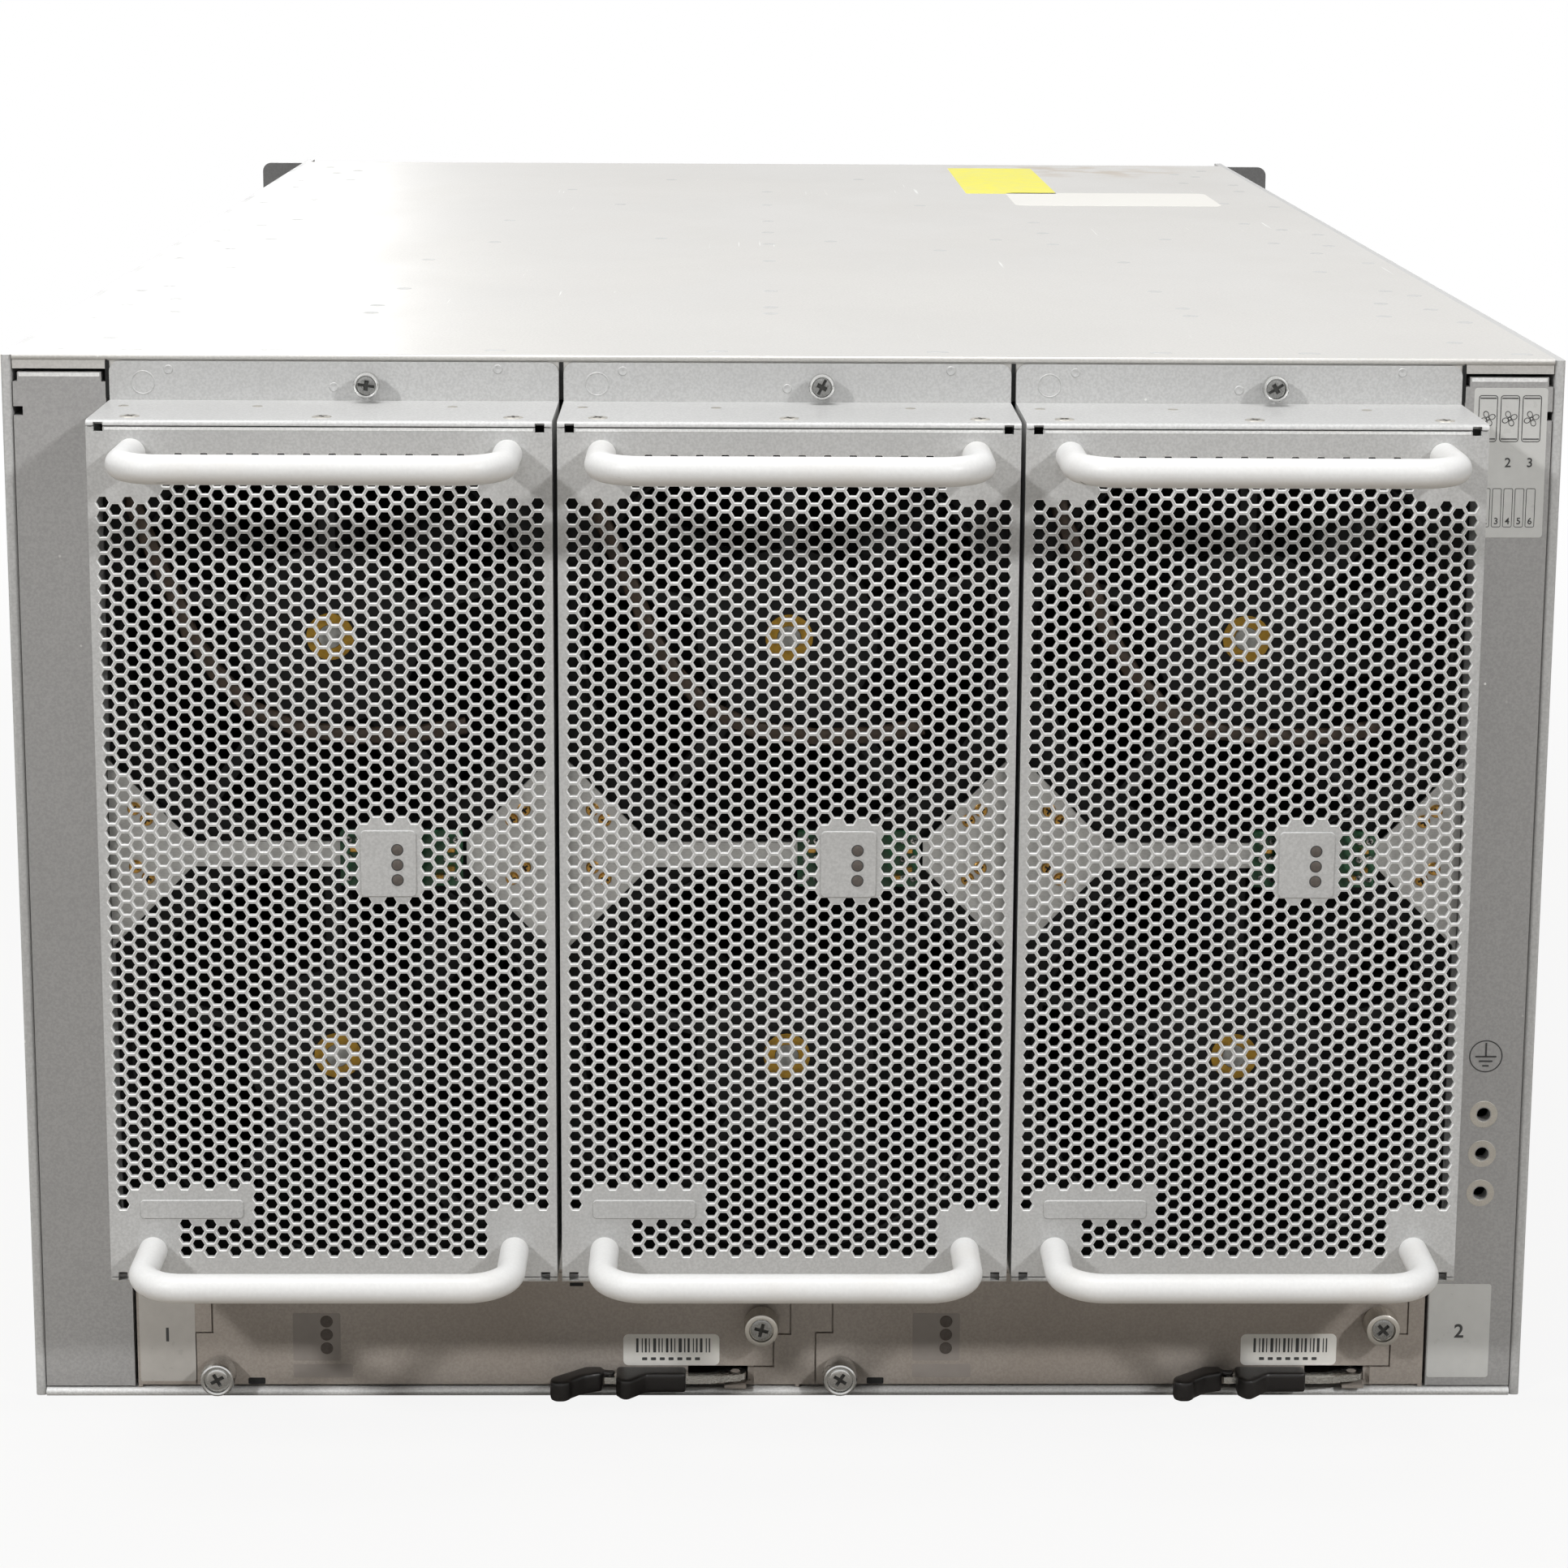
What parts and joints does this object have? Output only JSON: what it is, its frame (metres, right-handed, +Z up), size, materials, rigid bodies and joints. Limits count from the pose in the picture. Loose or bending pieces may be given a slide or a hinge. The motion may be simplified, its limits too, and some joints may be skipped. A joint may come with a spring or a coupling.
{
  "type": "modular chassis switch",
  "caption": "Rack-mount modular switch chassis with pull-out fan trays and system controllers at the rear and slide-in cards at the front.",
  "frame": {"origin": "centre of the chassis underside, midway between the side panels and between the cover's rear and front edges", "axes": "+Z up, +Y from the fan trays at the rear towards the rack ears and cards at the front, +X to the right as seen from the rear"},
  "size_m": [0.4826, 0.808, 0.31],
  "materials": {
    "chassis_paint": "fine metallic silver-grey paint, satin",
    "faceplate_paint": "fine metallic silver-grey paint, satin",
    "bay_paint": "fine metallic warm grey paint, satin",
    "ear_paint": "dark grey powder coat",
    "handle_paint": "near-white paint, worn to bare metal at the bends",
    "module_paint": "dark grey powder coat",
    "fan_plastic": "black moulded plastic",
    "grip_plastic": "black moulded plastic",
    "bracket_steel": "bare sheet steel",
    "lever_steel": "bare sheet steel",
    "screw_plating": "bright plated steel",
    "circuit_board": "green solder mask"
  },
  "bodies": {
    "chassis": {"base_pan": "chassis_paint", "top_cover": "chassis_paint", "side_panel_left": "chassis_paint", "side_panel_right": "chassis_paint", "rear_post_left": "chassis_paint", "rear_post_right": "chassis_paint", "rack_ear_left": "ear_paint", "rack_ear_right": "ear_paint", "lower_bay": "bay_paint", "fabric_modules": "circuit_board", "supervisor_modules": "module_paint", "power_supplies": "module_paint"},
    "tray_1": {"tray_housing_1": "chassis_paint", "tray_faceplate_1": "faceplate_paint", "tray_handle_upper_1": "handle_paint", "tray_handle_lower_1": "handle_paint", "fan_frames_1": "fan_plastic", "fan_bracket_1": "bracket_steel", "led_board_1": "circuit_board"},
    "rotor_upper_1": {"fan_rotor_upper_1": "fan_plastic"},
    "rotor_lower_1": {"fan_rotor_lower_1": "fan_plastic"},
    "tray_screw_1": {"tray_screw_1": "screw_plating"},
    "tray_2": {"tray_housing_2": "chassis_paint", "tray_faceplate_2": "faceplate_paint", "tray_handle_upper_2": "handle_paint", "tray_handle_lower_2": "handle_paint", "fan_frames_2": "fan_plastic", "fan_bracket_2": "bracket_steel", "led_board_2": "circuit_board"},
    "rotor_upper_2": {"fan_rotor_upper_2": "fan_plastic"},
    "rotor_lower_2": {"fan_rotor_lower_2": "fan_plastic"},
    "tray_screw_2": {"tray_screw_2": "screw_plating"},
    "tray_3": {"tray_housing_3": "chassis_paint", "tray_faceplate_3": "faceplate_paint", "tray_handle_upper_3": "handle_paint", "tray_handle_lower_3": "handle_paint", "fan_frames_3": "fan_plastic", "fan_bracket_3": "bracket_steel", "led_board_3": "circuit_board"},
    "rotor_upper_3": {"fan_rotor_upper_3": "fan_plastic"},
    "rotor_lower_3": {"fan_rotor_lower_3": "fan_plastic"},
    "tray_screw_3": {"tray_screw_3": "screw_plating"},
    "controller_1": {"controller_tray_1": "faceplate_paint", "controller_board_1": "circuit_board"},
    "lever_1": {"lever_arm_1": "lever_steel", "lever_grip_1": "grip_plastic"},
    "trigger_1": {"lever_trigger_1": "grip_plastic"},
    "controller_screw_low_1": {"controller_screw_low_1": "screw_plating"},
    "controller_screw_high_1": {"controller_screw_high_1": "screw_plating"},
    "controller_2": {"controller_tray_2": "faceplate_paint", "controller_board_2": "circuit_board"},
    "lever_2": {"lever_arm_2": "lever_steel", "lever_grip_2": "grip_plastic"},
    "trigger_2": {"lever_trigger_2": "grip_plastic"},
    "controller_screw_low_2": {"controller_screw_low_2": "screw_plating"},
    "controller_screw_high_2": {"controller_screw_high_2": "screw_plating"},
    "line_card_1": {"line_card_1": "module_paint"},
    "line_card_2": {"line_card_2": "module_paint"},
    "line_card_3": {"line_card_3": "module_paint"},
    "line_card_4": {"line_card_4": "module_paint"}
  },
  "joints": [
    {"name": "tray_1_slide", "type": "slide", "parent": "chassis", "child": "tray_1", "axis": [0, -1, 0], "range_m": [0, 0.14]},
    {"name": "tray_screw_1_slide", "type": "slide", "parent": "tray_1", "child": "tray_screw_1", "axis": [0, -1, 0], "range_m": [0, 0.005]},
    {"name": "rotor_upper_1_spin", "type": "hinge", "parent": "tray_1", "child": "rotor_upper_1", "pos_m": [-0.1264, -0.36, 0.2346], "axis": [0, 1, 0], "continuous": true},
    {"name": "rotor_lower_1_spin", "type": "hinge", "parent": "tray_1", "child": "rotor_lower_1", "pos_m": [-0.1264, -0.36, 0.1136], "axis": [0, 1, 0], "continuous": true},
    {"name": "tray_2_slide", "type": "slide", "parent": "chassis", "child": "tray_2", "axis": [0, -1, 0], "range_m": [0, 0.14]},
    {"name": "tray_screw_2_slide", "type": "slide", "parent": "tray_2", "child": "tray_screw_2", "axis": [0, -1, 0], "range_m": [0, 0.005]},
    {"name": "rotor_upper_2_spin", "type": "hinge", "parent": "tray_2", "child": "rotor_upper_2", "pos_m": [0.0006, -0.36, 0.2346], "axis": [0, 1, 0], "continuous": true},
    {"name": "rotor_lower_2_spin", "type": "hinge", "parent": "tray_2", "child": "rotor_lower_2", "pos_m": [0.0006, -0.36, 0.1136], "axis": [0, 1, 0], "continuous": true},
    {"name": "tray_3_slide", "type": "slide", "parent": "chassis", "child": "tray_3", "axis": [0, -1, 0], "range_m": [0, 0.14]},
    {"name": "tray_screw_3_slide", "type": "slide", "parent": "tray_3", "child": "tray_screw_3", "axis": [0, -1, 0], "range_m": [0, 0.005]},
    {"name": "rotor_upper_3_spin", "type": "hinge", "parent": "tray_3", "child": "rotor_upper_3", "pos_m": [0.1276, -0.36, 0.2346], "axis": [0, 1, 0], "continuous": true},
    {"name": "rotor_lower_3_spin", "type": "hinge", "parent": "tray_3", "child": "rotor_lower_3", "pos_m": [0.1276, -0.36, 0.1136], "axis": [0, 1, 0], "continuous": true},
    {"name": "controller_1_slide", "type": "slide", "parent": "chassis", "child": "controller_1", "axis": [0, -1, 0], "range_m": [0, 0.14]},
    {"name": "lever_1_pivot", "type": "hinge", "parent": "controller_1", "child": "lever_1", "pos_m": [-0.0132, -0.356, 0.0066], "axis": [0, 0, 1], "range_deg": [0, 80]},
    {"name": "trigger_1_pivot", "type": "hinge", "parent": "lever_1", "child": "trigger_1", "pos_m": [-0.04995, -0.3592, 0.0066], "axis": [0, 0, 1], "range_deg": [0, 20], "stiffness_Nm_per_rad": 0.03},
    {"name": "controller_screw_low_1_slide", "type": "slide", "parent": "controller_1", "child": "controller_screw_low_1", "axis": [0, -1, 0], "range_m": [0, 0.005]},
    {"name": "controller_screw_high_1_slide", "type": "slide", "parent": "controller_1", "child": "controller_screw_high_1", "axis": [0, -1, 0], "range_m": [0, 0.005]},
    {"name": "controller_2_slide", "type": "slide", "parent": "chassis", "child": "controller_2", "axis": [0, -1, 0], "range_m": [0, 0.14]},
    {"name": "lever_2_pivot", "type": "hinge", "parent": "controller_2", "child": "lever_2", "pos_m": [0.1695, -0.356, 0.0066], "axis": [0, 0, 1], "range_deg": [0, 80]},
    {"name": "trigger_2_pivot", "type": "hinge", "parent": "lever_2", "child": "trigger_2", "pos_m": [0.13275, -0.3592, 0.0066], "axis": [0, 0, 1], "range_deg": [0, 20], "stiffness_Nm_per_rad": 0.03},
    {"name": "controller_screw_low_2_slide", "type": "slide", "parent": "controller_2", "child": "controller_screw_low_2", "axis": [0, -1, 0], "range_m": [0, 0.005]},
    {"name": "controller_screw_high_2_slide", "type": "slide", "parent": "controller_2", "child": "controller_screw_high_2", "axis": [0, -1, 0], "range_m": [0, 0.005]},
    {"name": "line_card_1_slide", "type": "slide", "parent": "chassis", "child": "line_card_1", "axis": [0, 1, 0], "range_m": [0, 0.3]},
    {"name": "line_card_2_slide", "type": "slide", "parent": "chassis", "child": "line_card_2", "axis": [0, 1, 0], "range_m": [0, 0.3]},
    {"name": "line_card_3_slide", "type": "slide", "parent": "chassis", "child": "line_card_3", "axis": [0, 1, 0], "range_m": [0, 0.3]},
    {"name": "line_card_4_slide", "type": "slide", "parent": "chassis", "child": "line_card_4", "axis": [0, 1, 0], "range_m": [0, 0.3]}
  ]
}
